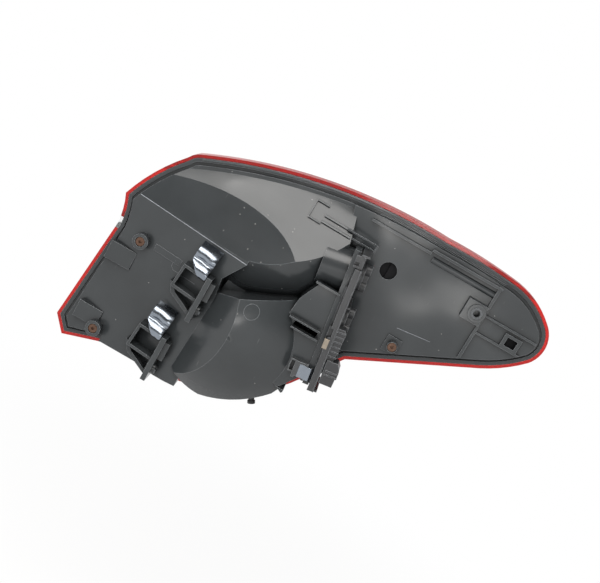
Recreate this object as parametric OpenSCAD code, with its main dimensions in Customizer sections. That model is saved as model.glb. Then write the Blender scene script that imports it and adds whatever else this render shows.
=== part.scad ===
// Rear lamp cluster for the left side of a car, drawn from its mounting side.
// Lamp axes: x towards the wing tip, y up the car, z out of the mounting side, z = 0 on the rim.
// stand() turns the lamp upright, so that the lens looks along -Y and the tower bore is the origin.

/* [Rim and lens] */
// Lowest point of the rim, below the lamp's middle
rim_bottom = 163; // [158:1:170]
// Left end of the rim, from the lamp's middle
rim_left = 205; // [202:1:212]
// Highest point of the rim, above the lamp's middle
rim_top = 119; // [117:1:124]
// Wing tip, from the lamp's middle
tip_x = 238; // [232:1:246]
// Wall of the outer lens
lens_wall = 3.2; // [2.4:0.2:4]
// Depth of the lens in front of the rim
lens_depth = 55; // [45:1:62]
// Radius of the lens's front face
lens_r = 900; // [850:10:1100]
// Height of the lens edge behind the rim
lens_lip = 1.5; // [0.8:0.1:2.5]
// Width of the clear band in the lens
band_w = 13; // [8:1:18]

/* [Housing] */
// Wall of the housing moulding
wall = 2.6; // [2:0.1:3]
// Width of the rim flange inside the lens edge
flange_w = 7; // [6:0.5:9]
// Width of the lip along the flange, next to the lens
lip_w = 3.6; // [2.5:0.1:4]
// Height of that lip above the flange
lip_h = 2.4; // [1.5:0.1:3]
// Thickness of the rim flange
flange_t = 3; // [2.5:0.1:4]
// Height of the wing panel behind the rim
wing_z = 9; // [8:0.5:11]
// Height of the valley floor between the chambers
deck_z = 15; // [13:0.5:18]
// Top of the lower bowl
bowl_z = 68; // [62:1:72]
// Radius of the lower bowl in plan
bowl_r = 72; // [68:1:74]
// Radius of the upper bulge's skirt
skirt_r = 114; // [112:0.5:116]
// Radius of the upper bulge's crown across the lamp
crown_r = 227; // [224:0.5:230]
// Height of the ridge at its left end
ridge_left_z = 14; // [12:0.5:17]
// Height of the ridge at its right end
ridge_right_z = 42; // [40:0.5:45]

/* [Bosses and holes] */
// Diameter of the screw bosses on the plate
boss_d = 16; // [14:0.5:18]
// Height of the screw bosses above the plate
boss_h = 11; // [8:0.5:14]
// Diameter of a screw head
screw_head_d = 9; // [8:0.2:10]
// Diameter of a screw shank
screw_d = 4; // [3.5:0.1:4.5]
// Diameter of the round hole in the wing
wing_hole_d = 17.5; // [15:0.5:19]
// Side of the square tower on the wing
tower_w = 21; // [19:0.5:23]
// Height of the tower above the wing panel
tower_h = 13; // [11:0.5:16]
// Outer diameter of the tower bush
bush_d = 12; // [11:0.5:14]
// Bore of the tower bush
bush_bore = 6.6; // [6:0.1:7.2]

/* [Brackets and spring clips] */
// Height of the bracket frames above the plate
bracket_h = 18; // [15:0.5:21]
// Wall of the bracket frames
bracket_t = 2.6; // [2.2:0.2:3.2]
// Length of the slab beside each bracket
slab_len = 48; // [44:1:52]
// Thickness of the slab beside each bracket
slab_t = 5; // [4:0.5:6]
// Width of a spring clip
clip_w = 22; // [18:1:24]
// Sheet thickness of a spring clip
clip_t = 0.9; // [0.7:0.1:1.2]
// Diameter of a clip rivet
rivet_d = 6; // [5:0.5:7]

/* [Bulb carrier] */
// Length of the bulb carrier
carrier_len = 141; // [137:1:144]
// Height of the bulb carrier above the wing panel
carrier_h = 56; // [52:1:60]
// Thickness of the bulb carrier plate
carrier_t = 5; // [4:0.5:6]
// Outer diameter of a bulb holder
holder_d = 24; // [22:1:25]
// Outer diameter of the barrel between the upper chamber and the carrier
barrel_d = 46; // [42:1:50]
// Diameter of a bulb's glass
bulb_d = 16; // [14:1:17]
// Width of the connector
plug_w = 19; // [17:0.5:20]
// Thickness of the carrier gasket
gasket_t = 2; // [1.5:0.1:3]

/* [Hidden] */
$fn = 96;
gap = 0.3;
big = 420;
lap = 0.5;

// Points of an arc from p to q that stands h outwards, q left out
function bow(p, q, h, n) = h == 0 ? [p] :
    let (chord = norm(q - p), r = (chord * chord / 4 + h * h) / (2 * h), u = (q - p) / chord,
         v = [-u.y, u.x], c = (p + q) / 2 + v * (h - r), a = asin(chord / 2 / r))
    [for (i = [0:n - 1]) let (t = -a + 2 * a * i / n) c + r * (v * cos(t) + u * sin(t))];
function bow_r(p, q, h) = (pow(norm(q - p) / 2, 2) + h * h) / (2 * h);
function bow_centre(p, q, h) = let (u = unit(q - p)) (p + q) / 2 + [-u.y, u.x] * (h - bow_r(p, q, h));
function unit(v) = v / norm(v);
// A clockwise outline moved inwards by d
function inset(p, d) = [for (i = [0:len(p) - 1])
    let (u = unit(p[i] - p[(i + len(p) - 1) % len(p)]), w = unit(p[(i + 1) % len(p)] - p[i]),
         m = [u.y, -u.x] + [w.y, -w.x])
    p[i] + m * d / (1 + u * w)];

tip_top = rim_top - 23;
top_bow = [[-150, 71], [102, rim_top], 15];
// The rim, clockwise from its lowest corner
rim = concat(
    [[-191, -rim_bottom], [-rim_left, -146]],
    bow([-193, -32], [-200, -1], -1.5, 4),
    bow([-200, -1], [-162, 61], 3.5, 6),
    bow([-162, 61], [-150, 71], 1.5, 3),
    bow(top_bow[0], top_bow[1], top_bow[2], 24),
    bow([102, rim_top], [177, rim_top - 2], 1.5, 6),
    bow([177, rim_top - 2], [tip_x - 12, tip_top], 4.5, 8),
    bow([tip_x - 12, tip_top], [tip_x - 7, 53], 9, 12),
    bow([tip_x - 7, 53], [193, 24], 2, 5),
    [[193, 24], [73, -37]],
    bow([38, -87], [-38, -138], 7, 8),
    bow([-38, -138], [-110, -146], 4, 6),
    [[-110, -146], [-149, -149]]);
body_inset = lens_wall + gap + flange_w;

// Faces of the upper bulge: the left face and the plate meet at the ridge
ridge_a = [-185, 8, ridge_left_z];
ridge_b = [-57, 5, ridge_right_z];
ridge_x = (ridge_b.z - ridge_a.z) / (ridge_b.x - ridge_a.x);
face_y = -0.283;
plate_y = 0.0465;
deck_end = 30;
skirt_at = [-55, 62, -60];
// The crown is part of a ring that runs along the top of the rim
crown_ring = bow_r(top_bow[0], top_bow[1], top_bow[2]) - 166;
crown_low = -165.5;
crown_centre = bow_centre(top_bow[0], top_bow[1], top_bow[2]);
// Upper corner of the bulge's end and the turn of its end face
bulge_end = [18, 74];
bulge_end_turn = 17;
// The lower bowl
bowl_at = [-38, -62];
bowl_cap_r = 100;
bowl_edge = [-67, -33];
bowl_edge_turn = 24.9;
shoulder_x = -40;
shoulder_slope = 1;

// Height of the plate below the ridge
function plate_z(x, y) = ridge_a.z + ridge_x * (x - ridge_a.x) + plate_y * (y - ridge_a.y);
// Height of the crown at a point
function crown_z(x, y) = crown_low
    + sqrt(pow(crown_r, 2) - pow(norm([x, y] - crown_centre) - crown_ring, 2));

module prism(points, low, high) translate([0, 0, low]) linear_extrude(high - low) polygon(points);
// A block whose top is the plane through p with slopes sx and sy, lowered by d
module under(p, sx, sy, d = 0) translate(p) rotate(acos(1 / norm([sx, sy, 1])), [sy, -sx, 0])
    translate([-big, -big, -2 * big - d]) cube([2 * big, 2 * big, 2 * big]);
module block(x0, x1, y0, y1, z0, z1) translate([x0, y0, z0]) cube([x1 - x0, y1 - y0, z1 - z0]);
module rod(at, d, z0, z1) translate([at.x, at.y, z0]) cylinder(d = d, h = z1 - z0);
// Stands the lamp upright with the tower bore at the origin
module stand() rotate([90, 0, 180]) translate([-tower_at.x, -tower_at.y, -tower_top]) children();

/* The housing's main form, all faces moved inwards by d */
left_plan = [[-230, -190], [-230, 160], [-57, 160], [-57, 5], [-72, -20], [-66, -60], [-62, -100], [-62, -190]];
module left_form(d) intersection() {
    prism(inset(left_plan, d), -20, 70);
    under(ridge_a, ridge_x, face_y, d);
    under(ridge_a, ridge_x, plate_y, d);
    crown(d);
}
module crown(d) translate([crown_centre.x, crown_centre.y, crown_low])
    rotate_extrude($fn = 180) translate([crown_ring, 0]) circle(r = crown_r - d, $fn = 128);
module bulge_form(d) intersection() {
    translate(skirt_at) sphere(r = skirt_r - d, $fn = 96);
    under(ridge_a, ridge_x, face_y, d);
    crown(d);
    translate(bulge_end) rotate(bulge_end_turn) block(-200, -d, -200, 120, -20, 70);
}
module bowl_form(d) intersection() {
    translate([bowl_at.x, bowl_at.y, bowl_z - bowl_cap_r]) sphere(r = bowl_cap_r - d, $fn = 96);
    rod(bowl_at, 2 * (bowl_r - d), -20, 90);
    under([shoulder_x, 0, bowl_z - 2], shoulder_slope, 0, d);
    translate(bowl_edge) rotate(bowl_edge_turn) translate([-big, -big - d, -20]) cube([2 * big, big, 110]);
}
// Bulb carrier: its frame has x through the plate, y along it and z as on the lamp
carrier_lean = 8.3;
carrier_foot = [54, -66];
function on_carrier(x, y) = carrier_foot
    + [x * cos(carrier_lean) - y * sin(carrier_lean), x * sin(carrier_lean) + y * cos(carrier_lean)];
module carrier_frame() translate([carrier_foot.x, carrier_foot.y, 0]) rotate(carrier_lean) children();
seat_t = 6;
seat_x = -gasket_t - seat_t;
// Bulb axes: place along the carrier and height
turn_at = [carrier_len - 27, 24];
stop_at = [26, 31];
fog_at = [(stop_at.x + turn_at.x) / 2, 30];
bulb_axes = [turn_at, fog_at, stop_at];
// How far each holder reaches into its chamber
turn_reach = 8;
fog_reach = 0;
stop_reach = 20;
module along(at, d, x0, x1) translate([x0, at.x, at.y]) rotate([0, 90, 0]) cylinder(d = d, h = x1 - x0);
// Barrel of the upper chamber and the flat box beside the bowl
barrel_len = 26;
barrel_drop = 7;
panel_z = 46;
rib_y = 26;
box_plan = [[-4, -70], [3, 4], [13, rib_y], on_carrier(seat_x + 1, carrier_len - 48), on_carrier(seat_x + 1, -30)];
module neck_form(d) {
    carrier_frame() along(turn_at - [0, barrel_drop], barrel_d - 2 * d, seat_x - barrel_len + d, seat_x + 1.5);
    prism(inset(box_plan, d), -20, panel_z - d);
}
// The body's lowest level, the valley floor and the wing panel
base_z = wall + 1;
deck_plan = [[-90, -160], [-60, 20], [0, 50], [deck_end, 66], [deck_end, -160]];
wing_plan = [[-20, -170], [-20, 20], bulge_end + [-4, 0], bulge_end + [-60 * tan(bulge_end_turn) - 4, 60],
    [big, 134], [big, -170]];
// Along the lower edge the body reaches the outer edge of the flange
lower_edge = [-152, 34];
lower_edge_y = -84;
module outline(d, low) {
    prism(inset(rim, body_inset + d), low, 90);
    intersection() {
        prism(inset(rim, lens_wall + gap + d), low, 90);
        block(lower_edge[0] + d, lower_edge[1] - d, -190, lower_edge_y, low, 90);
    }
}
module main_form(d) intersection() {
    outline(d, d > 0 ? -20 : -flange_t);
    union() {
        intersection() {
            prism(inset(rim, body_inset + d - 1), -20, wing_z - d);
            prism(inset(wing_plan, d), -30, 30);
        }
        intersection() {
            prism(inset(rim, body_inset + d - 1), -20, deck_z - d);
            prism(inset(deck_plan, d), -30, 30);
        }
        block(-big, big, -big, big, -20, base_z - d);
        left_form(d);
        bulge_form(d);
        bowl_form(d);
        neck_form(d);
    }
}

/* Places on the lamp */
plate_bosses = [[-160.5, -31], [-162, -134.5]];
wing_boss = [106, 1];
wing_boss_d = 11;
wing_boss_h = 8;
tower_at = [159, 73];
tower_top = wing_z + tower_h;
bush_floor = wing_z + 1;
vent_at = [5, -107];
vent_z = 8;
vent_turn = 27;
vent_d = 6;
seat_top = panel_z + 2;
wing_hole_at = [65, 64];
function boss_top(at) = plate_z(at.x, at.y) + boss_h;
head_h = 2.6;
screw_posts = concat([for (b = plate_bosses) [b.x, b.y, boss_top(b)]],
    [[wing_boss.x, wing_boss.y, wing_z + wing_boss_h]]);

/* Brackets: each has its own frame at the lower left corner of its slab */
brackets = [[-83, -70], [-94, -146]];
function bracket_base(b) = plate_z(b.x - 15, b.y + 25);
window = [29, 23];
box_y = 19;
module bracket(b) {
    base = bracket_base(b);
    top = base + bracket_h;
    translate([b.x, b.y, 0]) {
        // slab that carries the clip
        block(0, slab_t, 0, slab_len, base - 10, top + 7);
        // box frame with its window
        translate([slab_t / 2, box_y, 0]) rotate(-5) difference() {
            block(-window.x - bracket_t, 0, 0, window.y + bracket_t, base - 10, top);
            block(-window.x, -slab_t / 2, bracket_t, window.y, base - 20, top + 1);
        }
        // sloping brace with its triangular opening
        difference() {
            prism([[lap, 1], [-26, 14], [-32, 25], [lap, 20]], base - 10, top - 6);
            prism([[-2, 6], [-22, 16], [-25, 19], [-2, 17]], base - 20, top + 1);
        }
        // small block outside the slab
        block(slab_t - lap, slab_t + 5, 24, 43, base - 10, top);
        // seat of the rivet
        translate([slab_t - lap, rivet_y, top - 5]) rotate([0, 90, 0]) cylinder(d = rivet_d + 5, h = 3);
    }
}
rivet_y = 12;
function pin_z(b) = bracket_base(b) + bracket_h - 5;

module screw_boss(at, d, h, top) difference() {
    rod(at, d, top - h - 2, top);
    rod(at, screw_head_d + 1, top - head_h - 0.8, top + 1);
}

// Cable guide: two rails on the crown that run on as the two bars of a fork
fork_y = [75, 81];
fork_t = 1.6;
fork_end = 44;
fork_z = crown_z(bulge_end.x, fork_y[1]) - 1;
module cable_guide() {
    intersection() {
        crown(-fork_t);
        union() {
            for (y = fork_y) block(-16, bulge_end.x - 2, y, y + fork_t, 0, 50);
            block(-30, -16, fork_y[0] - 2, fork_y[0] - 1, 0, 50);
            block(-30, -16, fork_y[1] + 9, fork_y[1] + 10, 0, 50);
            block(-30, -29, fork_y[0] - 2, fork_y[1] + 10, 0, 50);
        }
    }
    for (y = fork_y) block(bulge_end.x - 8, fork_end, y, y + fork_t, fork_z, fork_z + 4);
    block(fork_end - fork_t, fork_end, fork_y[0], fork_y[1] + fork_t, fork_z, fork_z + 6);
}

pad_at = [-146, -33];
slot_y = [-22, -15];
slot_t = 1.5;
// Thin wall along the top of the flat box, up to the carrier's seat
rib_end = on_carrier(seat_x, (rib_y - carrier_foot.y) / cos(carrier_lean)).x + 2;

// Pads, tower, rails and ribs that stand on the wing panel
rail_y = rim_top - 19.5;
step_x = 166;
module wing_details() {
    block(wing_boss.x - 9, wing_boss.x + 7, wing_boss.y - 8, wing_boss.y + 9, 0, wing_z + 2);
    // tower with its round boss
    block(tower_at.x - 13, tower_at.x + tower_w - 13, tower_at.y - 11, tower_at.y + tower_w - 11,
          0, tower_top - 4);
    rod(tower_at, bush_d + 5, 0, tower_top - 1);
    // rails along the top of the wing, and a round one below them
    block(26, 92, rail_y, rail_y + 2.5, 0, wing_z + 5);
    block(92, 170, rail_y + 3.5, rail_y + 6, 0, wing_z + 5);
    translate([96, rail_y - 4, wing_z - 1]) rotate([0, 90, 0]) cylinder(d = 7, h = step_x - 96);
    // step band between the panel and the tip pocket
    block(step_x, step_x + 3, 0, rim_top, 0, wing_z + 4);
    // ribs of the tip pocket, and the frame of its square hole
    block(step_x, tip_x - 9, 73, 75, 0, wing_z + 4);
    block(step_x, tip_x - 12, 54, 56, 0, wing_z + 4);
    block(195, 213, 55, 70, 0, wing_z + 4);
}

module housing() stand() color("#3d4245") difference() {
    union() {
        main_form(0);
        // rim flange and the lip that makes it a groove
        difference() {
            prism(inset(rim, lens_wall + gap), -flange_t, lip_h);
            prism(inset(rim, lens_wall + gap + lip_w), 0, lip_h + 1);
        }
        // tab pads that bridge the groove
        block(-187, -159, -65, -46, -flange_t, plate_z(-173, -56) + 4);
        block(-188, -162, -135, -117, -flange_t, plate_z(-173, -126) + 4);
        for (b = plate_bosses) screw_boss(b, boss_d, boss_h, boss_top(b));
        // wing boss on its stepped pad
        screw_boss(wing_boss, wing_boss_d, wing_boss_h, wing_z + wing_boss_h);
        intersection() {
            prism(inset(rim, body_inset + 1), 0, 60);
            wing_details();
        }
        for (b = brackets) bracket(b);
        cable_guide();
        // faint raised pad on the plate
        intersection() {
            block(pad_at.x, pad_at.x + 31, pad_at.y, pad_at.y + 7, 0, 60);
            under(ridge_a, ridge_x, plate_y, -0.5);
        }
        // two plates of the pocket beside the bowl
        block(9, 38, slot_y[0] - slot_t, slot_y[0], 20, panel_z + 8);
        block(3, 36, slot_y[1], slot_y[1] + slot_t, 20, panel_z + 8);
        // thin wall between the barrel and the flat box
        block(9, rib_end, rib_y, rib_y + 1.8, panel_z - 3, panel_z + 5);
        // seat of the bulb carrier
        carrier_frame() block(seat_x, -gasket_t, 0, carrier_len, wing_z - 1, seat_top);
    }
    // hollow of the chambers
    main_form(wall);
    // slot between the two plates
    block(10, 35, slot_y[0], slot_y[1], panel_z - wall - 1, panel_z + 9);
    // square hole of the tip pocket
    block(198.5, 209.5, 58, 67, -10, wing_z + 9);
    rod(wing_hole_at, wing_hole_d, -10, wing_z + 10);
    rod(tower_at, bush_d, bush_floor, tower_top + 1);
    for (s = screw_posts) rod(s, screw_d + 0.6, -10, s.z);
    for (s = screw_posts) rod(s, screw_head_d + 1, s.z - head_h - 0.8, s.z + 1);
    // openings for the bulbs
    carrier_frame() for (at = bulb_axes) along(at, holder_d + 1, seat_x - 20, 1);
    translate([vent_at.x, vent_at.y, vent_z]) rotate([90, 0, vent_turn])
        cylinder(d = vent_d + gap, h = 14, center = true);
    for (b = brackets) translate([b.x - 1, b.y + rivet_y, pin_z(b)]) rotate([0, 90, 0])
        cylinder(d = rivet_d + 0.1, h = slab_t + 10);
}

/* Lens */
// The lens leans back along its top edge, on a ball round the centre of that edge
draft_low = 400;
draft_r = norm([bow_r(top_bow[0], top_bow[1], top_bow[2]) + 14, draft_low]);
module lens_form(d, top) intersection() {
    prism(inset(rim, d), -90, top);
    translate([-40, 0, lens_r - lens_depth]) sphere(r = lens_r - d, $fn = 128);
    translate([crown_centre.x, crown_centre.y, draft_low]) sphere(r = draft_r - d, $fn = 128);
}
module lens_shell() difference() {
    lens_form(0, lens_lip);
    lens_form(lens_wall, lens_lip + 1);
}
band_y = -37;
band_end = 60;
module band() linear_extrude(2 * big, center = true) union() {
    translate([-big, band_y]) square([big + band_end, band_w]);
    translate([band_end, band_y + band_w / 2]) circle(d = band_w);
}
module outer_lens() stand() color("#b3131a") difference() { lens_shell(); band(); }
module lens_clear_band() stand() color("#e8eef0") intersection() { lens_shell(); band(); }
seal_w = 3;
seal_h = 2;
module lens_seal() stand() color("#2a2a2c") difference() {
    prism(inset(rim, lens_wall), -flange_t - seal_h, -flange_t);
    prism(inset(rim, lens_wall + seal_w), -flange_t - seal_h - 1, -flange_t + 1);
}

/* Reflector and bezel behind the lens */
inner_t = 2;
inner_inset = lens_wall + seal_w + gap;
inner_top = -flange_t;
split_x = 50;
turn_dish = [-10, 45];
stop_dish = [-30, -68];
fog_dish = [20, -2];
dish_t = 1.5;
bulb_room = bulb_d + 3;
turn_dish_top = crown_z(turn_dish.x, turn_dish.y + 12) - wall - 3.5;
stop_dish_top = bowl_z - wall - 10;
fog_dish_top = fog_at.y + bulb_room / 2 - dish_t - lap;
dishes = [[turn_dish, 33, turn_dish_top], [stop_dish, 44, stop_dish_top], [fog_dish, 13, fog_dish_top]];
module dish(at, r, top) translate([at.x, at.y, 0]) rotate_extrude()
    polygon(concat([[0, inner_top - inner_t - 1]], [for (i = [8:-1:0]) let (x = r * i / 8)
        [x, inner_top - inner_t - 1 + (top - inner_top + inner_t + 1) * (1 - pow(x / r, 2))]]));
post_hole = screw_d + 0.1;
module post(s, under_z) difference() {
    rod(s, screw_d + 3, inner_top - inner_t, under_z);
    rod(s, post_hole, inner_top - inner_t - 1, under_z + 1);
}
module reflector() stand() color("#d5d7d9") difference() {
    union() {
        intersection() {
            prism(inset(rim, inner_inset), inner_top - inner_t, inner_top);
            block(-big, split_x, -big, big, -90, 90);
        }
        for (k = dishes) intersection() {
            dish(k[0], k[1] + dish_t, k[2] + dish_t);
            block(-big, big, -big, big, inner_top - inner_t, 90);
        }
        for (b = plate_bosses) post(b, plate_z(b.x, b.y) - wall - gap - 0.9);
    }
    for (k = dishes) dish(k[0], k[1], k[2]);
    for (b = plate_bosses) rod(b, post_hole, inner_top - inner_t - 1, 60);
    carrier_frame() for (at = bulb_axes) along(at, bulb_room, seat_x - 60, 1);
}
window_top = rim_top - 22;
window_tip = [[tip_x - 24, (tip_top + 62) / 2], [tip_x - 25, 60]];
wing_window_plan = concat([[66, 8], [66, window_top]], bow([160, window_top], window_tip[0], 3.5, 5),
    bow(window_tip[0], window_tip[1], 0.3 * (window_tip[0].y - window_tip[1].y), 6),
    [window_tip[1], [187, 49]]);
module wing_window(d, low, high) prism(inset(wing_window_plan, d), low, high);
rib_pitch = 12;
rib_h = 2.5;
// The bezel closes over the back of the reflex as a shallow tray
tray_t = 1.5;
tray_z = inner_top + rib_h + gap;
module inner_bezel() stand() color("#33363a") {
    difference() {
        union() {
            intersection() {
                prism(inset(rim, inner_inset), inner_top - inner_t, inner_top);
                block(split_x + gap, big, -big, big, -90, 90);
            }
            wing_window(-tray_t, inner_top - lap, tray_z + tray_t);
        }
        wing_window(0, -30, tray_z);
        rod(wing_boss, post_hole, -30, 30);
    }
    post(wing_boss, wing_z - wall - gap);
}
module wing_reflex() stand() color("#c8202a") union() {
    wing_window(gap, inner_top - inner_t - 1, inner_top);
    intersection() {
        wing_window(gap + 2, inner_top - 1, inner_top + rib_h);
        for (x = [split_x + 18:rib_pitch:tip_x]) block(x, x + rib_pitch / 2, -big, big, -30, 30);
    }
}

/* Bulb carrier and what it holds */
carrier_low = wing_z + 1;
carrier_top = wing_z + carrier_h;
plate_t = 2.4;
rib_t = 1.8;
edge_in = 1.6;
head_len = 15;
carrier_ribs = [0, fog_at.x + 17];
carrier_slots = [[fog_at.x + 4, 12], [turn_at.x - 3, 14]];
tab = [44, 54];
module bulb_carrier() stand() color("#34383b") carrier_frame() difference() {
    union() {
        block(0, plate_t, 0, carrier_len, carrier_low, carrier_top - 3);
        // edge walls, with a bead along the outer edge
        block(-edge_in, carrier_t, 0, carrier_len - head_len, carrier_top - rib_t, carrier_top);
        block(0, plate_t, 0, carrier_len - head_len, carrier_top - 4, carrier_top);
        block(carrier_t - 1, carrier_t, 0, carrier_len - head_len, carrier_top - rib_t, carrier_top + 0.6);
        block(0, carrier_t + 1, 0, carrier_len, carrier_low, carrier_low + rib_t);
        // cross ribs on the outer face
        for (y = concat(carrier_ribs, [carrier_len - rib_t]))
            block(0, carrier_t + 3, y, y + rib_t, carrier_low, carrier_top - 3);
        // thick head at the upper end
        block(-edge_in - 2.8, carrier_t - 0.5, carrier_len - head_len + 1, carrier_len - 2,
              carrier_top - 15, carrier_top - 3);
        // lip that hooks over the housing's seat
        block(-gasket_t - 1.5, 1, 30, carrier_len - 24, seat_top + gap, seat_top + gap + 2.5);
        for (y = [fog_at.x - 14, turn_at.x - 17])
            block(-gasket_t - 1.5, plate_t, y, y + 10, seat_top + gap, carrier_top - 4);
        // collars round the bulb holders
        for (at = bulb_axes) along(at, holder_d + 5, 0, carrier_t + 1);
    }
    for (at = bulb_axes) along(at, holder_d + gap, -5, 30);
    for (k = carrier_slots) block(-1, plate_t + 1, k.x, k.x + k.y, carrier_top - 10, carrier_top - 4);
    // notch beside the earth tab, and one across the head
    block(-edge_in - 1, 1.2, tab[1] + 2, tab[1] + 11, carrier_top - 5, carrier_top + 1);
    block(-edge_in - 4, 0.5, carrier_len - 12, carrier_len - 8, carrier_top - 7, carrier_top);
}
module carrier_gasket() stand() color("#1c1c1e") carrier_frame() difference() {
    block(-gasket_t, 0, 2, carrier_len - 2, carrier_low + 1, seat_top - 1);
    for (at = bulb_axes) along(at, holder_d + 1, -5, 5);
}
track_t = 0.6;
module contact_track() stand() color("#b08d3c") carrier_frame() {
    difference() {
        for (z = [carrier_top - 9, carrier_top - 16])
            block(plate_t, plate_t + track_t, plug_block[1] + gap, carrier_len - head_len, z, z + 4);
        for (y = carrier_ribs) block(-1, 20, y - gap, y + rib_t + gap, 0, 90);
        for (at = bulb_axes) along(at, holder_d + 5 + gap, -5, 30);
    }
    // earth tab, folded over the edge wall
    block(-edge_in - track_t - 1.4, 1.2, tab[0], tab[1], carrier_top, carrier_top + track_t);
    block(-edge_in - track_t - 1.4, -edge_in - 1.4, tab[0], tab[1], carrier_top - 7, carrier_top + track_t);
}
// A holder: a cup through the carrier with a flange and two grip lobes
lobe_d = 11;
lobe_at = 8.3;
lobe_h = 6;
module holder(at, reach) stand() color("#2b2e30") carrier_frame() difference() {
    union() {
        along(at, holder_d, -gasket_t - 6 - reach, carrier_t + 1);
        along(at, holder_d + 4, carrier_t + 1, carrier_t + 4);
        for (k = [-1, 1]) translate([carrier_t + 4 - lap, at.x + k * lobe_at, at.y])
            rotate([0, 90, 0]) cylinder(d = lobe_d, h = lobe_h);
        block(carrier_t + 4 - lap, carrier_t + 3 + lobe_h, at.x - 8, at.x + 8, at.y - 3, at.y + 3);
    }
    along(at, bulb_base_d + 0.2, -60, bulb_seat - reach);
}
bulb_base_d = 13;
bulb_seat = -2;
bulb_len = 44;
fog_bulb_len = 32;
module bulb(at, reach, len) stand() color("#e9e2cf") carrier_frame()
    translate([bulb_seat - reach, at.x, at.y]) rotate([0, -90, 0]) rotate_extrude() polygon(concat(
        [[0, 0], [bulb_base_d / 2, 0], [bulb_base_d / 2, 12], [bulb_base_d / 2 - 1, 13]],
        [for (a = [-50:20:90]) [bulb_d / 2 * cos(a), len - bulb_d / 2 + bulb_d / 2 * sin(a)]]));
module turn_bulb_holder() holder(turn_at, turn_reach);
module fog_bulb_holder() holder(fog_at, fog_reach);
module stop_bulb_holder() holder(stop_at, stop_reach);
module turn_bulb() bulb(turn_at, turn_reach, bulb_len);
module fog_bulb() bulb(fog_at, fog_reach, fog_bulb_len);
module stop_bulb() bulb(stop_at, stop_reach, bulb_len);

// Connector on the outer face: a ribbed block with a plug barrel below it, mouth down
plug_wall = 1.6;
plug_d = 13;
plug_x = carrier_t + 1.3;
plug_z = carrier_top + 1 - plug_w;
plug_y = [11, 35];
plug_deep = 16;
plug_block = [34, 67];
plug_block_x = 13;
module connector_shell() stand() color("#26292b") carrier_frame() difference() {
    union() {
        prism([[plug_x, plug_y[0]], [plug_x, plug_y[1]], [plug_x + plug_d - 2, plug_y[1]],
            [plug_x + plug_d + 1, plug_y[1] - 5], [plug_x + plug_d, plug_y[0]]], plug_z, plug_z + plug_w);
        // ribs round the barrel
        for (y = [20, 24]) block(plug_x + 2, plug_x + plug_d + 1.6, y, y + 1.6, plug_z + 3, plug_z + plug_w + 0.6);
        prism([[plate_t + gap, plug_block[0]], [plate_t + gap, plug_block[1]], [plug_block_x - 1, plug_block[1]],
            [plug_block_x + 1, plug_block[1] - 3], [plug_block_x - 1, plug_block[0]]],
            carrier_top - 19, carrier_top - rib_t - gap);
        for (y = [plug_block[0] + 4:5:plug_block[1] - 4])
            block(carrier_t + gap, plug_block_x + 0.6, y, y + 1.5, carrier_top - 17, carrier_top - rib_t - gap + 0.8);
    }
    block(plug_x + plug_wall, plug_x + plug_d - plug_wall, plug_y[0] - 1, plug_y[0] + plug_deep,
          plug_z + plug_wall, plug_z + plug_w - plug_wall);
    for (i = [0:3]) pin(i, 0.05);
}
module pin(i, room = 0) block(plug_x + 5.5 - room, plug_x + 7.1 + room, plug_y[0] + 5, plug_y[1] - 3 + room,
    plug_z + 2.4 + 4 * i - room, plug_z + 4 + 4 * i + room);
module connector_pins() stand() color("#c9b26b") carrier_frame() for (i = [0:3]) pin(i);

// Latch that holds the carrier's foot, and its spring
latch_h = 10;
latch_w = 13;
latch_y = [4, 21];
latch_low = panel_z + gap;
latch_x = seat_x - gap;
module carrier_latch() stand() color("#4a4e51") carrier_frame() difference() {
    union() {
        block(latch_x - latch_w, latch_x, latch_y[0], latch_y[1], latch_low, latch_low + latch_h);
        block(latch_x - latch_w - 5, latch_x, latch_y[0] + 4, latch_y[1], latch_low, latch_low + latch_h - 2);
    }
    block(latch_x - latch_w - 4, latch_x - latch_w - 0.5, latch_y[0] + 5.5, latch_y[1] - 1.5,
          latch_low + 1.5, latch_low + latch_h);
    block(latch_x - latch_w + 3, latch_x - 3, latch_y[0] - 1, latch_y[0] + 2, latch_low + 2, latch_low + latch_h + 1);
}
spring_t = 0.8;
module latch_spring() stand() color("#d8d9db") carrier_frame() translate([0, latch_y[1] - 2, 0]) rotate([90, 0, 0])
    linear_extrude(latch_y[1] - latch_y[0] - 4) translate([0, latch_low + latch_h + spring_t / 2])
        polygon(sheet(rounded([[latch_x - 8, 0], [latch_x - 1.5, 0], [latch_x + 1, 2], [-2, 1], [-spring_t, -5]], 3),
            spring_t));

/* Sheet metal: a line rounded by cutting its corners, then given a thickness */
function cut(p) = concat([p[0]], [for (i = [0:len(p) - 2]) each [0.75 * p[i] + 0.25 * p[i + 1],
    0.25 * p[i] + 0.75 * p[i + 1]]], [p[len(p) - 1]]);
function rounded(p, n) = n == 0 ? p : rounded(cut(p), n - 1);
function side(p, i) = let (a = p[max(i - 1, 0)], b = p[min(i + 1, len(p) - 1)], u = unit(b - a)) [-u.y, u.x];
function sheet(p, t) = concat([for (i = [0:len(p) - 1]) p[i] + side(p, i) * t / 2],
    [for (i = [len(p) - 1:-1:0]) p[i] - side(p, i) * t / 2]);
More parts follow.
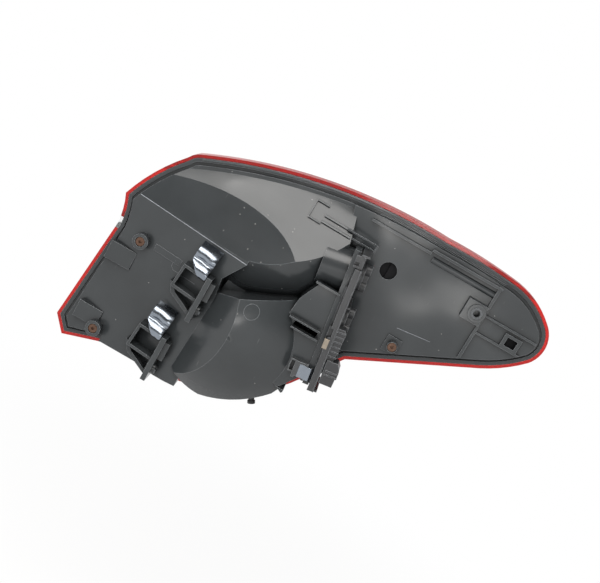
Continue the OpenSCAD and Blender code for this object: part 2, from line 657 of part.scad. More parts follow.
// S-bent spring clip, hooked over the upper wall of its bracket
module spring_clip(b) {
    top = bracket_base(b) + bracket_h;
    wall_y = window.y + bracket_t / 2;
    h = (bracket_t + clip_t) / 2 + gap;
    stand() color("#e3e5e8") translate([b.x + slab_t / 2, b.y + box_y, 0]) rotate(-5) translate([-window.x + 1, 0, 0])
        rotate([90, 0, 90]) linear_extrude(clip_w) polygon(sheet(rounded(
            [[wall_y - h, top - 9], [wall_y - h, top + 4], [wall_y + 4, top + 7], [wall_y + 9, top + 4],
             [wall_y + 13, top - 1], [wall_y + 18, top + 2], [wall_y + 25, top - 2], [wall_y + 29, top - 11]], 3), clip_t));
}
module upper_spring_clip() spring_clip(brackets[0]);
module lower_spring_clip() spring_clip(brackets[1]);
module clip_pin(b) stand() color("#d9dadc") translate([b.x - 1, b.y + rivet_y, pin_z(b)]) rotate([0, 90, 0])
    rotate_extrude() polygon([[0, 0], [rivet_d / 2, 0], [rivet_d / 2, slab_t + 3.6], [rivet_d / 2 + 1.6, slab_t + 3.6],
        [rivet_d / 2 + 1, slab_t + 5.4], [0, slab_t + 6]]);
module upper_clip_pin() clip_pin(brackets[0]);
module lower_clip_pin() clip_pin(brackets[1]);

/* Fasteners and small pieces */
screw_tip = 0;
module housing_screws() stand() color("#8d7f6a") for (s = screw_posts) difference() {
    union() {
        rod(s, screw_head_d, s.z - head_h - 0.8, s.z - 0.8);
        rod(s, screw_d, screw_tip, s.z - head_h);
    }
    for (a = [0, 60]) translate([s.x, s.y, s.z - 0.8]) rotate(a)
        linear_extrude(4, center = true) circle(d = screw_head_d * 0.45, $fn = 3);
}
module tower_bush() stand() color("#c9ccd0") difference() {
    rod(tower_at, bush_d - 0.1, bush_floor, tower_top);
    rod(tower_at, bush_bore, bush_floor - 1, tower_top + 1);
}
vent_out = 19;
vent_in = 3;
module vent_elbow() stand() color("#1b1c1e") translate([vent_at.x, vent_at.y, vent_z]) rotate([90, 0, vent_turn])
    difference() {
        union() {
            translate([0, 0, -vent_in]) cylinder(d = vent_d, h = vent_out + vent_in);
            translate([0, 0, 7.2]) cylinder(d = vent_d + 3, h = 2.5);
            translate([0, 0, vent_out - 3]) cylinder(d = vent_d + 2, h = 3);
        }
        translate([0, 0, -6]) cylinder(d = vent_d - 3, h = vent_out + 10);
    }

housing();
outer_lens();
lens_clear_band();
lens_seal();
reflector();
wing_reflex();
inner_bezel();
bulb_carrier();
carrier_gasket();
contact_track();
carrier_latch();
latch_spring();
turn_bulb_holder();
fog_bulb_holder();
stop_bulb_holder();
turn_bulb();
fog_bulb();
stop_bulb();
connector_shell();
connector_pins();
upper_spring_clip();
lower_spring_clip();
upper_clip_pin();
lower_clip_pin();
housing_screws();
tower_bush();
vent_elbow();
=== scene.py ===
import math

import bmesh
import bpy
from mathutils import Matrix, Vector
from mathutils.bvhtree import BVHTree


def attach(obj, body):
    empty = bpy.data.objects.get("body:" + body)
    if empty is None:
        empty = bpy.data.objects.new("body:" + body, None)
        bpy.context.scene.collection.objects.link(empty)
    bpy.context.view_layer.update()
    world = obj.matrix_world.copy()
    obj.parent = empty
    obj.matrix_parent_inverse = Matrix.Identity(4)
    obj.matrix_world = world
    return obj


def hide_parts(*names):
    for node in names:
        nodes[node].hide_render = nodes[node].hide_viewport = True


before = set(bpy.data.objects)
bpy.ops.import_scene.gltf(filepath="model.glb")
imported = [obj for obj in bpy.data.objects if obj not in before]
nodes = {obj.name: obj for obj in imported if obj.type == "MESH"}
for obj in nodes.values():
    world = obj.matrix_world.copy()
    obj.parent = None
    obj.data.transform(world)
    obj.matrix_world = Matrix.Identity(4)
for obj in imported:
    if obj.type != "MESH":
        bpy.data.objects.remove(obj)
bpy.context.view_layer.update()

# Camera. It looks at the mounting side from a little above, and is rolled so that the lamp
# lies along the picture as it does on the bench. Places and sizes in the studio are in metres,
# and those on the lamp are in millimetres.
look_at = Vector((0.159, -0.022, -0.073))
camera_distance = 1.150
camera_elevation = math.radians(12)
camera_roll = math.radians(30)
focal_length, sensor_width = 69.0, 36.0
back = Vector((0, math.cos(camera_elevation), math.sin(camera_elevation)))
level = Vector((-1, 0, 0))
upright = back.cross(level)
right = math.cos(camera_roll) * level + math.sin(camera_roll) * upright
optics = bpy.data.cameras.new("camera")
optics.lens, optics.sensor_width = focal_length, sensor_width
camera = bpy.data.objects.new("camera", optics)
camera.matrix_world = Matrix.Translation(look_at + camera_distance * back) @ Matrix(
    (right, back.cross(right), back)).transposed().to_4x4()
bpy.context.collection.objects.link(camera)
bpy.context.scene.camera = camera
bpy.context.scene.view_settings.view_transform = "Standard"

# Studio. The room is white to the camera, and in reflections it is white up to eye level and
# dark overhead. A softbox and a dimmer one hang over the lamp, a small one stands beside the
# camera, and a broad fill behind the camera softens the shadows.
ceiling = ((0.0, 1.0), (0.5, 0.95), (0.58, 0.34), (0.68, 0.10), (1.0, 0.08))
room_light = 0.55
warm_white = (1.0, 0.98, 0.95)


def node(tree, kind, inputs=(), **settings):
    """A shader node, with its sockets linked or set and its settings made."""
    made = tree.nodes.new("ShaderNode" + kind)
    for name, value in settings.items():
        setattr(made, name, value)
    for slot, value in dict(inputs).items():
        if isinstance(value, bpy.types.NodeSocket):
            tree.links.new(value, made.inputs[slot])
        else:
            made.inputs[slot].default_value = value
    return made


def maths(tree, operation, *values):
    return node(tree, "Math", dict(enumerate(values)), operation=operation).outputs[0]


def mixed(tree, share, under, over):
    """One colour laid over another."""
    return node(tree, "MixRGB", {"Fac": share, "Color1": under, "Color2": over}).outputs[0]


def grey(tone):
    return (tone, tone, tone, 1)


world = bpy.data.worlds.new("studio")
bpy.context.scene.world = world
world.use_nodes = True
room = world.node_tree
room.nodes.clear()
direction = node(room, "SeparateXYZ", {0: node(room, "TexCoord").outputs["Generated"]})
height = maths(room, "MULTIPLY_ADD", direction.outputs["Z"], 0.5, 0.5)
shade = node(room, "ValToRGB", {"Fac": height})
stops = shade.color_ramp.elements
while len(stops) < len(ceiling):
    stops.new(0.5)
for stop, (at, tone) in zip(stops, ceiling):
    stop.position = at
    stop.color = grey(tone)
rays = node(room, "LightPath").outputs
straight = maths(room, "MAXIMUM", rays["Is Camera Ray"], rays["Is Transmission Ray"])
mirrored = mixed(room, rays["Is Glossy Ray"], grey(room_light), shade.outputs["Color"])
paper = node(room, "Background", {"Color": mixed(room, straight, mirrored, grey(1))})
node(room, "OutputWorld", {"Surface": paper.outputs[0]})


def softbox(name, place, wide, high, power):
    box = bpy.data.lights.new(name, "AREA")
    box.color = warm_white
    box.shape = "RECTANGLE"
    box.size, box.size_y, box.energy = wide, high, power
    stand = bpy.data.objects.new(name, box)
    stand.location = place
    stand.rotation_euler = (Vector(place) - look_at).to_track_quat("Z", "Y").to_euler()
    bpy.context.collection.objects.link(stand)
    return stand


softbox("overhead_softbox", (0.50, 0.85, 1.15), wide=0.95, high=0.8, power=14)
softbox("left_softbox", (1.15, 0.62, 1.0), wide=0.5, high=0.8, power=5)
softbox("side_softbox", (-0.03, 1.45, 0.01), wide=0.3, high=0.3, power=1.4)
fill = softbox("front_fill", (0.16, 1.25, 0.45), wide=1.4, high=0.9, power=17)
fill.visible_glossy = False

# Floor. A pale sheet far below the hanging lamp, white where it meets the room and a little
# duller under the lamp, so that it holds the lamp's soft shadow.
floor_z, floor_reach = -0.62, 6.0
floor_tone, floor_roughness = 0.9, 0.9
pool_centre = (look_at.x - 0.13, -0.35, floor_z)
pool_near, pool_far = 0.2, 0.9
pool_glow = 0.86
floor_mesh = bpy.data.meshes.new("floor")
sheet = bmesh.new()
bmesh.ops.create_grid(sheet, x_segments=1, y_segments=1, size=floor_reach)
bmesh.ops.translate(sheet, verts=sheet.verts, vec=(look_at.x, 0, floor_z))
sheet.to_mesh(floor_mesh)
sheet.free()
floor = bpy.data.objects.new("floor", floor_mesh)
bpy.context.collection.objects.link(floor)
floor_paper = bpy.data.materials.new("floor_paper")
floor_paper.use_nodes = True
tree = floor_paper.node_tree
matt = tree.nodes["Principled BSDF"]
matt.inputs["Base Color"].default_value = grey(floor_tone)
matt.inputs["Roughness"].default_value = floor_roughness
off_centre = node(tree, "VectorMath", {0: node(tree, "TexCoord").outputs["Object"], 1: pool_centre},
                  operation="DISTANCE")
away = node(tree, "MapRange", {"Value": off_centre.outputs["Value"], "From Min": pool_near,
                               "From Max": pool_far, "To Min": pool_glow, "To Max": 1.0},
            interpolation_type="SMOOTHSTEP")
floor_rays = node(tree, "LightPath").outputs
shown = maths(tree, "MAXIMUM", floor_rays["Is Camera Ray"], floor_rays["Is Glossy Ray"])
share = maths(tree, "MULTIPLY", shown, away.outputs["Result"])
glow = node(tree, "Emission")
blend = node(tree, "MixShader", {0: share, 1: matt.outputs[0], 2: glow.outputs[0]})
tree.links.new(blend.outputs[0], tree.nodes["Material Output"].inputs["Surface"])
floor_mesh.materials.append(floor_paper)

# Housing. One dark polypropylene moulding that carries everything: glossy where the mould was
# polished, faintly mottled, and dusty. Its edges are slightly round, as a mould leaves them, and
# are painted paler as a painted highlight; its corners are painted darker as a painted shade.
housing_colour = (0.026, 0.029, 0.031)
cloud_scale = 16.0
fleck_scale, fleck_size, fleck_rarity = 170.0, 0.075, 0.87
fleck_colour, fleck_dullness = (0.42, 0.41, 0.39, 1), 0.4
smear_scales, smear_depth = (14, 14, 70), 0.16
hair_scales, hair_start, hair_full, hair_share = (900, 40, 60), 0.78, 0.84, 0.2
hair_colour = grey(0.35)
sink_scale = 13.0
# Painted shade: corners and recesses are darkened by ambient occlusion.
corner_depth = 7
corner_shade, corner_dark, corner_clear = 0.25, 0.25, 0.9
# Painted highlight: proud edges are made paler, in a pale grey.
crest_start, crest_full, crest_most = 0.7, 0.95, 0.8
edge_highlight_colour = (0.30, 0.32, 0.34, 1)
edge_highlight_strength = 4.5


def surface_group(name, *inputs):
    """A node group that takes a place, a tint, a gloss and its own values, and puts out a surface."""
    made = bpy.data.node_groups.new(name, "ShaderNodeTree")
    for title, kind in (("Vector", "Vector"), ("Tint", "Color"), ("Gloss", "Float"), *inputs):
        made.interface.new_socket(title, in_out="INPUT", socket_type="NodeSocket" + kind)
    for title, kind in (("Colour", "Color"), ("Roughness", "Float"), ("Height", "Float")):
        made.interface.new_socket(title, in_out="OUTPUT", socket_type="NodeSocket" + kind)
    return made, made.nodes.new("NodeGroupInput").outputs


def put_out(tree, colour, roughness, relief):
    """Link what a surface group works out to its outputs."""
    out = tree.nodes.new("NodeGroupOutput").inputs
    for title, socket in (("Colour", colour), ("Roughness", roughness), ("Height", relief)):
        tree.links.new(socket, out[title])


def toned(tree, tint, value):
    """A tint made lighter or darker."""
    return node(tree, "HueSaturation", {"Color": tint, "Value": value}).outputs[0]


def noise(tree, place, scale, detail):
    return node(tree, "TexNoise", {"Vector": place, "Scale": scale, "Detail": detail}).outputs["Fac"]


def streaks(tree, place, scales, detail):
    """Noise drawn out along the axes whose scales are small."""
    drawn_out = node(tree, "VectorMath", {0: place, 1: scales}, operation="MULTIPLY")
    return noise(tree, drawn_out.outputs[0], 1.0, detail)


def swing(tree, wave, depth, middle):
    """A value that wanders round its middle, as the noise does."""
    return maths(tree, "MULTIPLY_ADD", maths(tree, "SUBTRACT", wave, 0.5), depth, middle)


skin, given = surface_group("moulded_skin", ("Mottle", "Float"), ("Dust", "Float"),
                            ("Grain", "Float"), ("Wave", "Float"))
cloud = noise(skin, given["Vector"], cloud_scale, detail=4.0)
mottled = toned(skin, given["Tint"], swing(skin, cloud, given["Mottle"], 1.0))
cells = node(skin, "TexVoronoi", {"Vector": given["Vector"], "Scale": fleck_scale})
lot = node(skin, "SeparateColor", {0: cells.outputs["Color"]}).outputs["Red"]
fleck = maths(skin, "MULTIPLY", maths(skin, "LESS_THAN", cells.outputs["Distance"], fleck_size),
              maths(skin, "GREATER_THAN", lot, fleck_rarity))
fleck = maths(skin, "MULTIPLY", fleck, given["Dust"])
dusty = mixed(skin, fleck, mottled, fleck_colour)
hair = node(skin, "MapRange", {"Value": streaks(skin, given["Vector"], hair_scales, detail=1.0),
                               "From Min": hair_start, "From Max": hair_full, "To Max": hair_share})
scratched = mixed(skin, hair.outputs["Result"], dusty, hair_colour)
wiped = streaks(skin, given["Vector"], smear_scales, detail=5.0)
smear = swing(skin, wiped, smear_depth, given["Gloss"])
grain = noise(skin, given["Vector"], given["Grain"], detail=2.0)
sink = noise(skin, given["Vector"], sink_scale, detail=0.0)
put_out(skin, scratched, maths(skin, "MULTIPLY_ADD", fleck, fleck_dullness, smear),
        maths(skin, "MULTIPLY_ADD", sink, given["Wave"], grain))


def finish(name, surface, inputs, relief, edge, edge_highlight=0.0, **plain):
    """A material: a shared surface group, its relief on slightly round edges, and plain values.

    Relief and edge are in mm. An edge highlight paints the colour paler along proud edges,
    a painted highlight, and darker in corners by ambient occlusion, a painted shade.
    """
    made = bpy.data.materials.new(name)
    made.use_nodes = True
    tree = made.node_tree
    shader = tree.nodes["Principled BSDF"]
    coat = tree.nodes.new("ShaderNodeGroup")
    coat.node_tree = surface
    tree.links.new(node(tree, "TexCoord").outputs["Object"], coat.inputs["Vector"])
    for title, value in inputs.items():
        coat.inputs[title].default_value = (*value, 1) if title == "Tint" else value
    round_edge = node(tree, "Bevel", {"Radius": edge / 1000}, samples=4).outputs["Normal"]
    colour = coat.outputs["Colour"]
    # Painted shade darkens corners by ambient occlusion, and a painted highlight makes proud edges
    # paler.
    if edge_highlight:
        open_air = node(tree, "AmbientOcclusion", {"Distance": corner_depth / 1000}, samples=6,
                        only_local=True).outputs["AO"]
        painted_corner_shade = node(tree, "MapRange", {"Value": open_air, "From Min": corner_dark,
                                       "From Max": corner_clear, "To Min": corner_shade})
        flat = node(tree, "NewGeometry").outputs["Normal"]
        facing = node(tree, "VectorMath", {0: round_edge, 1: flat}, operation="DOT_PRODUCT")
        bent = maths(tree, "SUBTRACT", 1.0, facing.outputs["Value"])
        proud = node(tree, "MapRange", {"Value": open_air, "From Min": crest_start,
                                        "From Max": crest_full})
        crest = maths(tree, "MULTIPLY", bent, proud.outputs["Result"])
        share = maths(tree, "MINIMUM", maths(tree, "MULTIPLY", crest, edge_highlight), crest_most)
        colour = mixed(tree, share, toned(tree, colour, painted_corner_shade.outputs["Result"]), edge_highlight_colour)
    tree.links.new(colour, shader.inputs["Base Color"])
    tree.links.new(coat.outputs["Roughness"], shader.inputs["Roughness"])
    bump = node(tree, "Bump", {"Strength": 1.0, "Distance": relief / 1000,
                               "Height": coat.outputs["Height"], "Normal": round_edge})
    tree.links.new(bump.outputs["Normal"], shader.inputs["Normal"])
    for title, value in plain.items():
        shader.inputs[title.replace("_", " ")].default_value = value
    return made


def dress(material, *names):
    """Give the part's own pieces their material."""
    for name in names:
        nodes[name].material_slots[0].material = material


black_moulding = finish(
    "black_moulding", skin,
    {"Tint": housing_colour, "Gloss": 0.22, "Mottle": 0.7, "Dust": 0.6, "Grain": 700.0, "Wave": 500.0},
    relief=0.02, edge=0.5, edge_highlight=edge_highlight_strength)
dress(black_moulding, "housing")

# Lines of the mould. Thin raised beads of the same plastic, left where two blocks of the mould
# met: along the ridge, round a loose insert beside the screw, across the wing, and in a plain
# ring on the bowl. The one across the wing is paler where it was rubbed in handling, and the
# ridge bead is painted paler as a painted highlight.
tower_bore = Vector((159, 22, 73))
above_lamp = 200
bead_sides = 8
sharp_from = math.radians(40)
ridge, ridge_steps = ((-184, 8.0), (-57, 5.1)), 40
insert_corner = [(-120.5, -30), (-122.5, -33), (-122, -37), (-119, -39.5)]
insert_end, insert_steps = (-93, -39.8), 12
wing_line, wing_steps = ((101, 19), (136, 23.4)), 8
ring_at, ring_r, ring_steps = (-30, -28), 7.5, 36
# Paler plastic: wear on the wing line, and a painted highlight on the ridge bead.
worn_and_highlight_moulding = finish(
    "worn_and_highlight_moulding", skin,
    {"Tint": (0.28, 0.30, 0.33), "Gloss": 0.25, "Mottle": 1.2, "Dust": 0.2, "Grain": 700.0},
    relief=0.02, edge=0.2)
shell = bmesh.new()
shell.from_mesh(nodes["housing"].data)
skin_of_housing = BVHTree.FromBMesh(shell)
shell.free()


def on_lamp(x, y, z):
    """A place on the lamp: x towards the wing tip, y up, z out of the mounting side, in mm."""
    return Vector((tower_bore.x - x, z - tower_bore.y, y - tower_bore.z)) / 1000


def on_housing(x, y, sunk):
    """The point of the housing's outer face straight below x, y on the lamp."""
    hit = skin_of_housing.ray_cast(on_lamp(x, y, above_lamp), Vector((0, -1, 0)))[0]
    return hit - Vector((0, sunk / 1000, 0))


def bead(mesh, points, radius, closed=False):
    """A round bead along the points, with its radius in mm."""
    count = len(points)
    rings = []
    for i, point in enumerate(points):
        ahead = points[(i + 1) % count] if closed else points[min(i + 1, count - 1)]
        behind = points[i - 1] if closed else points[max(i - 1, 0)]
        turn = (ahead - behind).to_track_quat("Z", "Y").to_matrix().to_4x4()
        ends = not closed and i in (0, count - 1)
        ring = bmesh.ops.create_circle(mesh, cap_ends=ends, segments=bead_sides, radius=radius / 1000,
                                       matrix=Matrix.Translation(point) @ turn)["verts"]
        rings.append(list({edge for vert in ring for edge in vert.link_edges}))
    pairs = list(zip(rings, rings[1:])) + ([(rings[-1], rings[0])] if closed else [])
    for one, other in pairs:
        bmesh.ops.bridge_loops(mesh, edges=one + other)


def make(name, mesh, material, smooth=False):
    """Finish a mesh as a piece of its own that stays with the lamp."""
    bmesh.ops.recalc_face_normals(mesh, faces=mesh.faces)
    data = bpy.data.meshes.new(name)
    mesh.to_mesh(data)
    mesh.free()
    data.materials.append(material)
    for face in data.polygons:
        face.use_smooth = smooth
    data.set_sharp_from_angle(angle=sharp_from)
    piece = bpy.data.objects.new(name, data)
    bpy.context.collection.objects.link(piece)
    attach(piece, "root")
    return piece


def mould_line(name, material, places, radius, sunk, closed=False):
    """A bead laid over places on the housing, and sunk into it by some of its thickness."""
    mesh = bmesh.new()
    bead(mesh, [on_housing(x, y, sunk) for x, y in places], radius, closed)
    make(name, mesh, material, smooth=True)


def between(start, end, steps):
    """Places along a straight line, its two ends among them."""
    return [(start[0] + (end[0] - start[0]) * i / steps, start[1] + (end[1] - start[1]) * i / steps)
            for i in range(steps + 1)]


# The ridge bead's pale colour is a painted highlight.
mould_line("ridge_bead", worn_and_highlight_moulding, between(*ridge, ridge_steps), radius=0.3, sunk=0.12)
mould_line("insert_line", black_moulding,
           insert_corner + between(insert_corner[-1], insert_end, insert_steps)[1:],
           radius=0.2, sunk=0.1)
mould_line("wing_line", worn_and_highlight_moulding, between(*wing_line, wing_steps), radius=0.15, sunk=0.0)
turns = [math.tau * i / ring_steps for i in range(ring_steps)]
mould_line("mould_ring", black_moulding,
           [(ring_at[0] + ring_r * math.cos(a), ring_at[1] + ring_r * math.sin(a)) for a in turns],
           radius=0.3, sunk=0.1, closed=True)

# Rolled edge of the rim's lip. Along the top of the lamp the lip beside the lens is rounded over,
# and catches the light. It is moulded with the housing.
rim_top, crest_x = 119, 102
upper_rim = (((-150, 71), (crest_x, rim_top), 15), ((crest_x, rim_top), (177, rim_top - 2), 1.5))
roll_r, roll_inset, roll_sunk = 1.1, 5.0, 0.5
roll_steps, least_step = 30, 1
lip_top = 2.4


def rim_arc(x, start, end, rise):
    """The rim's arc over x: its centre, the way out from it, and its radius."""
    start, end = Vector(start), Vector(end)
    along = (end - start).normalized()
    radius = ((end - start).length ** 2 / 4 + rise * rise) / (2 * rise)
    centre = (start + end) / 2 + Vector((-along.y, along.x)) * (rise - radius)
    y = centre.y + math.sqrt(radius ** 2 - (x - centre.x) ** 2)
    return centre, (Vector((x, y)) - centre).normalized(), radius


path = []
for start, end, rise in upper_rim:
    for x, _ in between(start, end, roll_steps):
        centre, out, radius = rim_arc(x, start, end, rise)
        spot = centre + out * (radius - roll_inset)
        if not path or spot.x > path[-1].x + least_step:
            path.append(spot)
mesh = bmesh.new()
bead(mesh, [on_lamp(spot.x, spot.y, lip_top - roll_sunk) for spot in path], roll_r)
make("lip_roll", mesh, black_moulding, smooth=True)

# Teeth of the rim groove. A row of small slanted ribs fills the groove along the top of the
# wing, where the body's seal grips the lamp. They are moulded with the housing.
groove_outer, groove_inner = 7.3, 10.3
groove_floor = 0.0
tooth_pitch, tooth_t, tooth_h, tooth_slant = 1.9, 0.7, 2.1, 1.6
teeth_from, teeth_to = 30, 172


def way(x, y, z):
    """A direction on the lamp."""
    return (on_lamp(x, y, z) - on_lamp(0, 0, 0)) * 1000


mesh = bmesh.new()
x = teeth_from
while x < teeth_to:
    centre, out, radius = rim_arc(x, *upper_rim[0 if x < crest_x else 1])
    inner = centre + out * (radius - groove_inner)
    outer = centre + out * (radius - groove_outer) + Vector((out.y, -out.x)) * tooth_slant
    middle = (inner + outer) / 2
    slant = (outer - inner).normalized()
    turn = Matrix((way(0, 0, 1), way(*slant, 0), way(slant.y, -slant.x, 0))).transposed()
    size = Matrix.Diagonal(Vector((tooth_h, (outer - inner).length, tooth_t)) / 1000)
    place = Matrix.Translation(on_lamp(middle.x, middle.y, groove_floor + tooth_h / 2))
    bmesh.ops.create_cube(mesh, size=1.0, matrix=place @ (turn @ size).to_4x4())
    x += tooth_pitch
make("groove_teeth", mesh, black_moulding)

# Outer lens. Clear red acrylic, welded to the flange, so only its edge shows from behind. Its
# front is hard-coated and bright, and its edge is bare. The clear band runs through it.
ripple_scale, haze_scale = 30.0, 120.0
least_depth, ripple_depth, haze_depth = 0.92, 0.16, 0.05
coat_start, coat_full, coat_most = 0.2, 0.6, 0.6
polish, polish_in = surface_group("polished_lens")
ripple = noise(polish, polish_in["Vector"], ripple_scale, detail=1.0)
haze = noise(polish, polish_in["Vector"], haze_scale, detail=4.0)
deep = maths(polish, "MULTIPLY_ADD", ripple, ripple_depth, least_depth)
put_out(polish, toned(polish, polish_in["Tint"], deep),
        maths(polish, "MULTIPLY_ADD", haze, haze_depth, polish_in["Gloss"]), ripple)


def front_share(tree, start, full, most):
    """How much of a finish lies on faces that look out through the lens."""
    outward = node(tree, "SeparateXYZ", {0: node(tree, "NewGeometry").outputs["Normal"]})
    return node(tree, "MapRange", {"Value": outward.outputs["Y"], "From Min": -start,
                                   "From Max": -full, "To Max": most}).outputs["Result"]


red_lens = finish("red_lens", polish, {"Tint": (0.60, 0.016, 0.012), "Gloss": 0.05},
                  relief=0.1, edge=0.4, Transmission_Weight=0.75, IOR=1.49,
                  Specular_IOR_Level=0.0, Coat_Roughness=0.04)
tree = red_lens.node_tree
tree.links.new(front_share(tree, coat_start, coat_full, coat_most),
               tree.nodes["Principled BSDF"].inputs["Coat Weight"])
dress(red_lens, "outer_lens")
dress(finish("clear_lens", polish, {"Tint": (0.92, 0.93, 0.94), "Gloss": 0.02},
             relief=0.1, edge=0.4, Transmission_Weight=0.9, IOR=1.49), "lens_clear_band")

# Wing reflex and the bezel round it. The reflex is red acrylic with rows of small prisms at its
# back, and the bezel is a dark satin moulding that closes over it.
prism_scale = 420.0
prism_light, prism_fall, prism_haze = 1.1, -0.5, 0.06
prisms, prism_in = surface_group("reflex_prisms")
facet = node(prisms, "TexVoronoi", {"Vector": prism_in["Vector"], "Scale": prism_scale,
                                    "Randomness": 0.0}).outputs["Distance"]
lit = maths(prisms, "MULTIPLY_ADD", facet, prism_fall, prism_light)
put_out(prisms, toned(prisms, prism_in["Tint"], lit),
        maths(prisms, "MULTIPLY_ADD", facet, prism_haze, prism_in["Gloss"]), facet)
dress(finish("reflex_red", prisms, {"Tint": (0.5, 0.02, 0.02), "Gloss": 0.06},
             relief=1.2, edge=0.4, Transmission_Weight=0.35, IOR=1.49), "wing_reflex")
dress(finish("satin_bezel", skin, {"Tint": (0.008, 0.008, 0.009), "Gloss": 0.42, "Mottle": 0.2,
                                   "Dust": 0.2, "Grain": 1400.0},
             relief=0.05, edge=0.4, Specular_IOR_Level=0.1), "inner_bezel")

# Lens seal. A bead of black sealant, laid in the corner between the lens and the flange and
# cured there. It is dull and a little rough.
dress(finish("cured_sealant", skin, {"Tint": (0.02, 0.02, 0.022), "Gloss": 0.5, "Mottle": 0.3,
                                     "Dust": 0.1, "Grain": 260.0}, relief=0.3, edge=0.5), "lens_seal")

# Reflector. Plastic with three dishes in one plate. Its front is vacuum-metallised, mirror bright
# with a fine flute, and its back is the bare dark moulding.
bare_back = (0.010, 0.010, 0.011, 1)
stain_scale = 160.0
drawn_depth = 0.12
plate_edge = 0.05
metal, metal_in = surface_group("worked_metal", ("Stain", "Float"), ("Grain", "Vector"))
drawn = streaks(metal, metal_in["Vector"], metal_in["Grain"], detail=3.0)
patch = noise(metal, metal_in["Vector"], stain_scale, detail=5.0)
dull = swing(metal, patch, metal_in["Stain"], 0.0)
put_out(metal, toned(metal, metal_in["Tint"], maths(metal, "SUBTRACT", 1.0, dull)),
        maths(metal, "ADD", swing(metal, drawn, drawn_depth, metal_in["Gloss"]), dull), drawn)
metallised = finish("metallised", metal, {"Tint": (0.84, 0.85, 0.86), "Gloss": 0.1, "Stain": 0.05,
                                          "Grain": (500, 60, 60)}, relief=0.2, edge=0.4)
tree = metallised.node_tree
shader = tree.nodes["Principled BSDF"]
plated = front_share(tree, -plate_edge, plate_edge, 1.0)
bright = shader.inputs["Base Color"].links[0].from_socket
tree.links.new(mixed(tree, plated, bare_back, bright), shader.inputs["Base Color"])
tree.links.new(plated, shader.inputs["Metallic"])
dress(metallised, "reflector")

# Bulb carrier and its gasket. The carrier is glass-filled plastic, so it is duller than the
# housing and slightly coarse. The gasket is closed-cell foam, pressed between it and the seat.
# The carrier's edges carry the painted highlight, and its corners carry the painted shade.
dress(finish("glass_filled_plastic", skin, {"Tint": (0.030, 0.031, 0.033), "Gloss": 0.34,
                                            "Mottle": 0.5, "Dust": 0.5, "Grain": 1500.0},
             relief=0.06, edge=0.5, edge_highlight=edge_highlight_strength), "bulb_carrier")
dress(finish("cell_foam", skin, {"Tint": (0.014, 0.014, 0.015), "Gloss": 0.85, "Mottle": 0.4,
                                 "Dust": 0.1, "Grain": 2400.0}, relief=0.3, edge=0.8), "carrier_gasket")

# Contact track. Thin stamped brass on the carrier's face, tinned and dull, with its earth tab
# folded over the edge.
dress(finish("stamped_brass", metal, {"Tint": (0.36, 0.31, 0.25), "Gloss": 0.3, "Stain": 0.5,
                                      "Grain": (60, 900, 60)},
             relief=0.02, edge=0.3, Metallic=1.0), "contact_track")

# Latch and its spring. A grey moulded latch at the carrier's foot, under a bent strip of bright
# spring steel.
# The latch's edges carry the painted highlight, and its corners carry the painted shade.
dress(finish("latch_plastic", skin, {"Tint": (0.040, 0.042, 0.044), "Gloss": 0.36, "Mottle": 0.4,
                                     "Dust": 0.5, "Grain": 1200.0},
             relief=0.04, edge=0.6, edge_highlight=edge_highlight_strength), "carrier_latch")
spring_steel = finish("spring_steel", metal, {"Tint": (0.27, 0.30, 0.34), "Gloss": 0.24, "Stain": 0.3,
                                              "Grain": (70, 90, 330)},
                      relief=0.1, edge=0.5, Metallic=1.0)
dress(spring_steel, "latch_spring")

# Bulb holders. Three black moulded cups with grip lobes, put into the carrier from outside and
# locked there by a turn.
# The holders' edges carry the painted highlight, and their corners carry the painted shade.
holder_plastic = finish("holder_plastic", skin, {"Tint": (0.024, 0.025, 0.027), "Gloss": 0.36,
                                                 "Mottle": 0.4, "Dust": 0.5, "Grain": 1300.0},
                        relief=0.05, edge=0.7, edge_highlight=edge_highlight_strength)
dress(holder_plastic, "turn_bulb_holder", "fog_bulb_holder", "stop_bulb_holder")

# Bulbs. Clear soda glass, one to each holder, pushed in from the lamp's inner side. Nothing
# lights them here.
dress(finish("bulb_glass", polish, {"Tint": (0.93, 0.92, 0.88), "Gloss": 0.0},
             relief=0.1, edge=0.3, Transmission_Weight=0.9, IOR=1.5),
      "turn_bulb", "fog_bulb", "stop_bulb")

# Connector. A ribbed black shell moulded round four tinned pins, at the carrier's foot. Its
# mouth faces down.
dress(holder_plastic, "connector_shell")
dress(finish("tinned_pins", metal, {"Tint": (0.62, 0.56, 0.42), "Gloss": 0.25, "Stain": 0.3,
                                    "Grain": (60, 60, 900)},
             relief=0.02, edge=0.2, Metallic=1.0), "connector_pins")

# Spring clips. Bright spring steel, bent to an S and creased lengthwise, with its left edge folded
# down and a narrow tongue where each clip hooks over its bracket. These pressed sheets stand for
# the plain strips.
clip_turn = math.radians(5)
across = Vector((-math.cos(clip_turn), 0, -math.sin(clip_turn)))
fold_share, fold_drop = 0.14, 1.4
tongue_share = 0.34
tongue_end, full_from = 0.06, 0.46
creases = ((0.38, 2.0), (0.70, -1.8))
crease_reach = 0.24


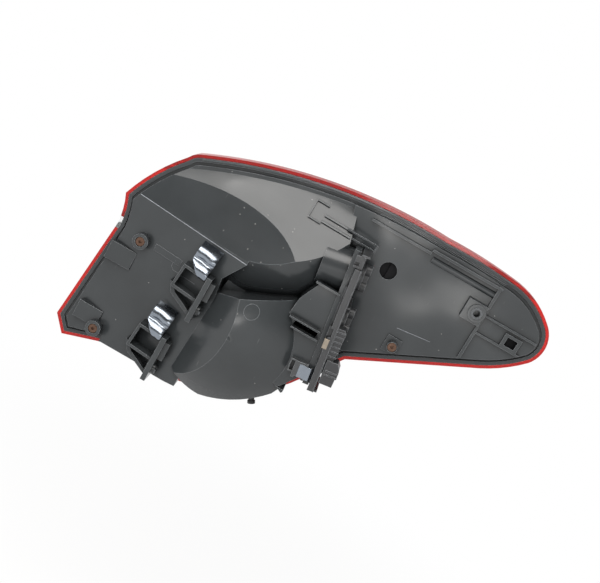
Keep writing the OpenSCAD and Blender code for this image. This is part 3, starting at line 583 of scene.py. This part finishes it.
def pressed_clip(name, strip):
    """Press a plain strip: crease it, fold its left edge down and draw its foot in to a tongue."""
    mesh = bmesh.new()
    mesh.from_mesh(nodes[strip].data)
    bmesh.ops.remove_doubles(mesh, verts=mesh.verts, dist=1e-6)
    reach = [vert.co.dot(across) for vert in mesh.verts]
    near, wide = min(reach), max(reach) - min(reach)
    for share in (fold_share, *(place for place, depth in creases)):
        bmesh.ops.bisect_plane(mesh, geom=mesh.verts[:] + mesh.edges[:] + mesh.faces[:], dist=1e-7,
                               plane_co=across * (near + wide * share), plane_no=across)
    low, high = min(vert.co.z for vert in mesh.verts), max(vert.co.z for vert in mesh.verts)
    for vert in mesh.verts:
        share = (vert.co.dot(across) - near) / wide
        up = (vert.co.z - low) / (high - low)
        full = min(max((up - tongue_end) / (full_from - tongue_end), 0), 1)
        dip = fold_drop * max(1 - share / fold_share, 0) * math.sin(math.pi * full / 2)
        middle = math.sqrt(max(math.sin(math.pi * up), 0))
        for place, depth in creases:
            dip += depth * max(1 - abs(share - place) / crease_reach, 0) * middle
        vert.co.y -= dip / 1000
        width = tongue_share + (1 - tongue_share) * full
        vert.co += across * (1 - share) * wide * (1 - width)
    piece = make(name, mesh, spring_steel, smooth=True)
    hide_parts(strip)


pressed_clip("upper_clip_sheet", "upper_spring_clip")
pressed_clip("lower_clip_sheet", "lower_spring_clip")

# Clip rivets, the tower's bush and the screws. The rivets and the bush are zinc-plated steel,
# turned. The screws are phosphated, and a thin film of rust has made them brown.
dress(finish("plated_steel", metal, {"Tint": (0.11, 0.115, 0.12), "Gloss": 0.25, "Stain": 0.4,
                                     "Grain": (900, 60, 900)},
             relief=0.02, edge=0.5, Metallic=1.0), "upper_clip_pin", "lower_clip_pin", "tower_bush")
dress(finish("brown_screws", metal, {"Tint": (0.11, 0.062, 0.042), "Gloss": 0.38, "Stain": 0.9,
                                     "Grain": (800, 60, 800)},
             relief=0.05, edge=0.4, Metallic=0.7), "housing_screws")

# Vent elbow. Soft black rubber, pushed into its hole at the foot of the bowl, where it lets the
# lamp breathe.
dress(finish("vent_rubber", skin, {"Tint": (0.016, 0.016, 0.017), "Gloss": 0.55, "Mottle": 0.3,
                                   "Dust": 0.4, "Grain": 1600.0}, relief=0.06, edge=0.6), "vent_elbow")
